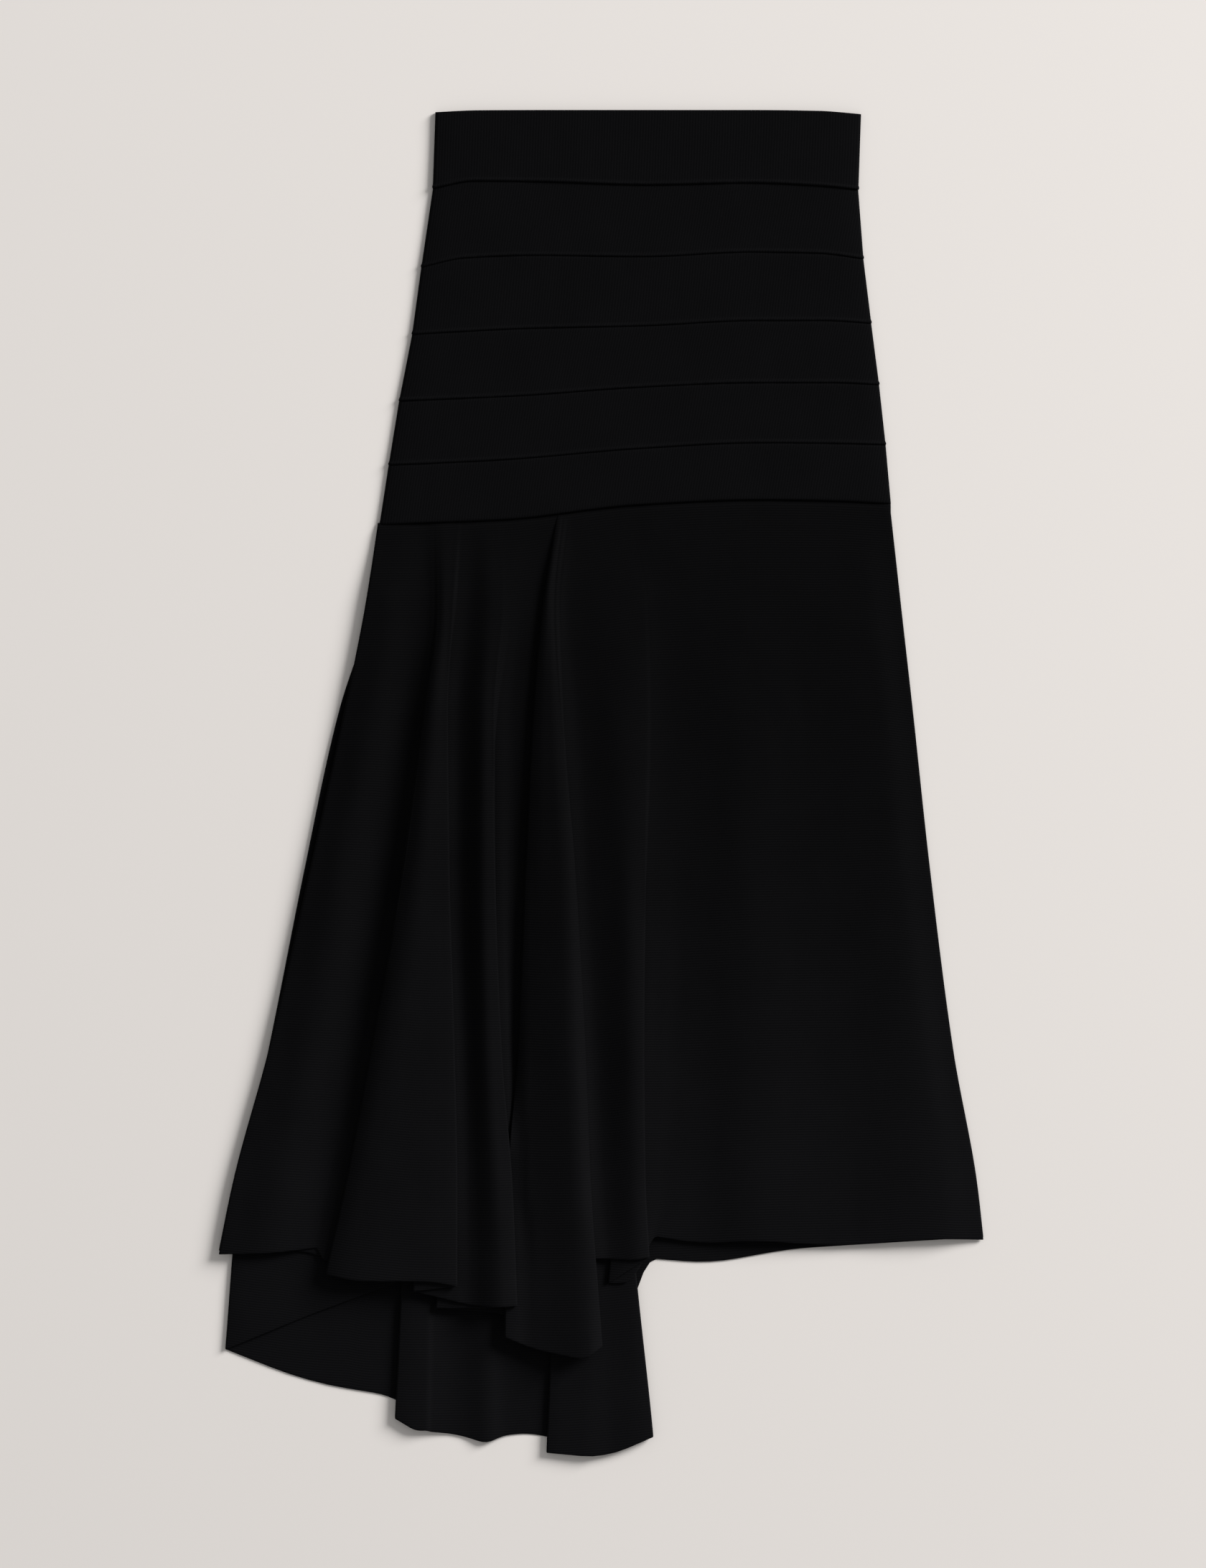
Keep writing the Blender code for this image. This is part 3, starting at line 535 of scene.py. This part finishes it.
def knit_material(name, colour, ribs_down, spacing, bump, tone_and_painted_light):
    """Black fine knit: ribs along or down the cloth with painted shade in their grooves, soft and slightly uneven,
    with a fuzz of fine fibres and painted light that brightens it along its height.
    """
    material = bpy.data.materials.new(name)
    material.use_nodes = True
    nodes = material.node_tree.nodes
    link = material.node_tree.links.new
    shader = nodes["Principled BSDF"]
    shader.inputs["Roughness"].default_value = KNIT_ROUGHNESS
    shader.inputs["Specular IOR Level"].default_value = KNIT_SPECULAR
    shader.inputs["Sheen Weight"].default_value = SHEEN_WEIGHT
    shader.inputs["Sheen Roughness"].default_value = SHEEN_ROUGHNESS

    cloth = nodes.new("ShaderNodeUVMap")
    cloth.uv_map = "knit"
    ribs = nodes.new("ShaderNodeTexWave")
    ribs.wave_type = "BANDS"
    ribs.bands_direction = "X" if ribs_down else "Y"
    ribs.wave_profile = "SIN"
    ribs.inputs["Scale"].default_value = math.pi / 10.0 / spacing
    ribs.inputs["Distortion"].default_value = 1.1
    ribs.inputs["Detail"].default_value = 1.0
    ribs.inputs["Detail Scale"].default_value = 0.25
    link(cloth.outputs["UV"], ribs.inputs["Vector"])

    place = nodes.new("ShaderNodeTexCoord")
    fuzz = nodes.new("ShaderNodeTexNoise")
    fuzz.inputs["Scale"].default_value = 1100.0
    fuzz.inputs["Detail"].default_value = 3.0
    link(place.outputs["Object"], fuzz.inputs["Vector"])
    mottle = nodes.new("ShaderNodeTexNoise")
    mottle.inputs["Scale"].default_value = 22.0
    mottle.inputs["Detail"].default_value = 4.0
    link(place.outputs["Object"], mottle.inputs["Vector"])

    # Painted shade: the colour is darkened in the rib grooves.
    groove_painted_shade = nodes.new("ShaderNodeMix")
    groove_painted_shade.data_type = "RGBA"
    painted_groove = [part * PAINTED_GROOVE_SHADE for part in colour]
    groove_painted_shade.inputs["A"].default_value = (*painted_groove, 1.0)
    groove_painted_shade.inputs["B"].default_value = (*colour, 1.0)
    link(ribs.outputs["Fac"], groove_painted_shade.inputs["Factor"])
    worn = nodes.new("ShaderNodeMix")
    worn.data_type = "RGBA"
    worn.blend_type = "MULTIPLY"
    worn.inputs["Factor"].default_value = 1.0
    range_node = nodes.new("ShaderNodeMapRange")
    range_node.inputs["From Min"].default_value = 0.3
    range_node.inputs["From Max"].default_value = 0.7
    range_node.inputs["To Min"].default_value = 0.93
    range_node.inputs["To Max"].default_value = 1.06
    link(mottle.outputs["Fac"], range_node.inputs["Value"])
    link(groove_painted_shade.outputs["Result"], worn.inputs["A"])
    link(range_node.outputs["Result"], worn.inputs["B"])
    # Painted light: the colour brightens from the waist end toward the hem, along the object's Y.
    down = nodes.new("ShaderNodeSeparateXYZ")
    link(place.outputs["Object"], down.inputs["Vector"])
    painted_light = nodes.new("ShaderNodeMapRange")
    painted_light.interpolation_type = "SMOOTHSTEP"
    painted_light.inputs["From Min"].default_value = PAINTED_LIGHT_FROM
    painted_light.inputs["From Max"].default_value = PAINTED_LIGHT_TO
    painted_light.inputs["To Min"].default_value = tone_and_painted_light[0]
    painted_light.inputs["To Max"].default_value = tone_and_painted_light[1]
    link(down.outputs["Y"], painted_light.inputs["Value"])
    painted_light_mix = nodes.new("ShaderNodeMix")
    painted_light_mix.data_type = "RGBA"
    painted_light_mix.blend_type = "MULTIPLY"
    painted_light_mix.inputs["Factor"].default_value = 1.0
    link(worn.outputs["Result"], painted_light_mix.inputs["A"])
    link(painted_light.outputs["Result"], painted_light_mix.inputs["B"])
    link(painted_light_mix.outputs["Result"], shader.inputs["Base Color"])

    height = nodes.new("ShaderNodeMath")
    height.operation = "MULTIPLY_ADD"
    height.inputs[1].default_value = 0.35
    link(fuzz.outputs["Fac"], height.inputs[0])
    link(ribs.outputs["Fac"], height.inputs[2])
    relief_node = nodes.new("ShaderNodeBump")
    relief_node.inputs["Strength"].default_value = bump
    relief_node.inputs["Distance"].default_value = 0.0003
    link(height.outputs["Value"], relief_node.inputs["Height"])
    link(relief_node.outputs["Normal"], shader.inputs["Normal"])
    return material


def band_rows(upper, lower):
    """Drops and rises of a band's rows from under the seam above it to its own lower seam."""
    top = np.array(upper.drops)
    bottom = np.array(lower.drops) - SEAM_GAP / 2
    ridge = RIDGE if lower is not SEAMS[-1] else ((1.8, 0.0), (1.0, -0.1), (0.5, -0.3), (0.1, -0.7))
    rows = [(top - TUCK, -TUCK_FALL), (top - 0.2, -TUCK_FALL), (top + 0.5, -0.25), (top + 1.5, -0.04)]
    first = top + 2.6
    last = bottom - ridge[0][0] - 1.5
    rows += [(first + (last - first) * share, 0.0) for share in np.linspace(0.0, 1.0, BAND_ROWS)]
    rows += [(bottom - above, rise) for above, rise in ridge]
    return rows


def band_object(name, upper, lower, wall, front, origin, seed):
    height = wall * 3 / 2 + SEAM_GAP if front else wall / 2
    waist = upper is SEAMS[0]
    rows = band_rows(upper, lower)
    if waist:
        top = np.array(upper.drops)
        rows = [(top, -0.75), (top + 0.15, -0.35), (top + 0.6, -0.08), (top + 1.4, 0.0)] + rows[4:]
    if not front:
        rows = [(drops, min(0.0, rise) * 0.4) for drops, rise in rows]
    middle = np.array(upper.drops) + SEAM_GAP / 2
    bottom = np.array(lower.drops)
    lines = []
    rises = []
    for drops, rise in rows:
        down = np.mean(drops - middle) / np.mean(bottom - middle)
        push = 0.7 * max(0.0, rise)
        left = upper.left + (lower.left - upper.left) * down - push
        right = upper.right + (lower.right - upper.right) * down + push
        across = np.linspace(left, right, BAND_COLUMNS + 1)
        drop = smooth_curve(SEAM_SHARES, drops, (across - left) / (right - left))
        bumps = np.array(
            [noise.noise(Vector((place / BUMP_ACROSS, float(drop[0]) / BUMP_DOWN, seed))) for place in across]
        )
        sag = SAG * math.sin(math.pi * min(1.0, max(0.0, down))) if front else 0.0
        inside = np.minimum(across - left, right - across)
        full = PUFF * (1.0 - np.exp(-inside / PUFF_REACH)) if front else 0.0
        lines.append(np.stack([across, -drop, height - sag + full + np.zeros(len(across))], axis=1))
        rises.append(rise * (1.0 + BUMP_SHARE * bumps) if rise > 0 else np.full(len(across), rise))
    grid = np.stack(lines)
    if front:
        grid = relief(grid, seed, BAND_UNEVEN)
    fall = (wall + SEAM_GAP) / 2 if front else -(wall + SEAM_GAP) / 2
    rise = np.array(rises)
    rise = np.concatenate([rise[:, :1]] * EDGE_POINTS + [rise] + [rise[:, -1:]] * EDGE_POINTS, axis=1)
    grid = edge_turned(grid, fall)
    share = side_share(grid.shape)
    return shell_object(name, grid, wall, share, rise, origin)


def side_share(shape):
    """Share of the wall that is left at each point: less at the side edges."""
    share = np.ones(shape[:2])
    share[:, :EDGE_POINTS] = EDGE_TAPER
    share[:, -EDGE_POINTS:] = EDGE_TAPER[::-1]
    return share


def flare_object(name, folds, join_layer, front, origin, seed):
    left_gap = LAYER * (FRONT_FOLDS[0].layers[0] - BACK_FOLDS[0].layers[0]) / 2
    grid = flare_grid(folds, join_layer, left_gap if front else -left_gap)
    grid[0, :, 1] += TUCK
    grid[1, :, 1] += JOIN_SECOND_ROW
    grid = relief(swollen(grid), seed, FLARE_UNEVEN_FRONT if front else FLARE_UNEVEN_BACK)
    if front:
        for row, fall in enumerate(JOIN_FALLS):
            grid[row, :, 2] -= fall
    share = side_share(grid.shape)
    for row, taper in enumerate(HEM_TAPER, 1):
        share[-row] *= taper
    return shell_object(name, grid, FLARE_WALL, share, np.zeros(grid.shape[:2]), origin)


def area_light(name, place, size, power, colour):
    light = bpy.data.lights.new(name, "AREA")
    light.shape = "DISK"
    light.size = size
    light.energy = power
    light.color = colour
    lamp = bpy.data.objects.new(name, light)
    lamp.location = place
    lamp.rotation_mode = "QUATERNION"
    lamp.rotation_quaternion = (-Vector(place)).to_track_quat("-Z", "Y")
    bpy.context.scene.collection.objects.link(lamp)


def studio():
    """The floor, the lights, the world and the camera."""
    mesh = bpy.data.meshes.new("floor")
    half = FLOOR_SIZE / 2
    mesh.from_pydata([(-half, -half, 0), (half, -half, 0), (half, half, 0), (-half, half, 0)], [], [(0, 1, 2, 3)])
    floor = bpy.data.objects.new("floor", mesh)
    floor.location.z = -0.0001
    bpy.context.scene.collection.objects.link(floor)
    paper = bpy.data.materials.new("floor")
    paper.use_nodes = True
    shader = paper.node_tree.nodes["Principled BSDF"]
    shader.inputs["Base Color"].default_value = (*FLOOR_COLOUR, 1.0)
    shader.inputs["Roughness"].default_value = 0.95
    shader.inputs["Specular IOR Level"].default_value = 0.0
    mesh.materials.append(paper)

    world = bpy.data.worlds.new("studio")
    world.use_nodes = True
    world.node_tree.nodes["Background"].inputs["Color"].default_value = (1.0, 1.0, 1.0, 1.0)
    world.node_tree.nodes["Background"].inputs["Strength"].default_value = WORLD_STRENGTH
    bpy.context.scene.world = world
    area_light("key", KEY_PLACE, KEY_SIZE, KEY_POWER, KEY_COLOUR)

    camera = bpy.data.cameras.new("camera")
    camera.sensor_width = SENSOR
    camera.lens = SENSOR * CAMERA_HEIGHT / (PHOTO_HEIGHT * MM_PER_PIXEL * MM)
    camera.clip_end = 50.0
    eye = bpy.data.objects.new("camera", camera)
    eye.location = (
        (PHOTO_WIDTH / 2 - ORIGIN_PIXEL[0]) * MM_PER_PIXEL * MM,
        (ORIGIN_PIXEL[1] - PHOTO_HEIGHT / 2) * MM_PER_PIXEL * MM,
        CAMERA_HEIGHT,
    )
    bpy.context.scene.collection.objects.link(eye)
    bpy.context.scene.camera = eye
    bpy.context.scene.view_settings.view_transform = "Standard"


def main():
    low, high = (np.array(corner) for corner in cad_box)
    # The tables count across from the waist's centre and down from its top edge
    origin = np.array([low[0] - FRONT_FOLDS[0].across[-1] * MM, high[1] + min(SEAMS[0].drops) * MM, 0.0])
    origin[1] += SEAM_GAP / 2 * MM
    yoke = {
        True: knit_material("yoke_front", FRONT_KNIT, True, WALE_SPACING, YOKE_BUMP, YOKE_SHADES),
        False: knit_material("yoke_back", BACK_KNIT, True, WALE_SPACING, YOKE_BUMP, YOKE_SHADES),
    }
    flare = {
        True: knit_material("flare_front", FRONT_KNIT, False, RIB_SPACING, FLARE_BUMP, FLARE_PAINTED_LIGHT),
        False: knit_material("flare_back", BACK_KNIT, False, RIB_SPACING, FLARE_BUMP, FLARE_PAINTED_LIGHT),
    }
    names = ["waistband"] + [f"yoke_band_{number}" for number in range(1, len(SEAMS) - 1)]
    for front in (True, False):
        side = "front" if front else "back"
        for number, name in enumerate(names):
            upper, lower = SEAMS[number], SEAMS[number + 1]
            wall = WAISTBAND_WALL if number == 0 else YOKE_WALL
            node = f"{name}_{side}"
            piece = band_object(f"{node}_knit", upper, lower, wall, front, origin, number * 3.0 + front)
            dress(piece, node, yoke[front])
        folds = FRONT_FOLDS if front else BACK_FOLDS
        layer = JOIN_LAYER_FRONT if front else JOIN_LAYER_BACK
        node = f"flare_{side}"
        piece = flare_object(f"{node}_knit", folds, layer, front, origin, 20.0 + front)
        grid = flare_grid(folds, layer, 0.0)
        dress(piece, node, flare[front])
    studio()


def dress(piece, node, material):
    piece.data.materials.append(material)
    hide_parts(node)
    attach(piece, "root")


main()
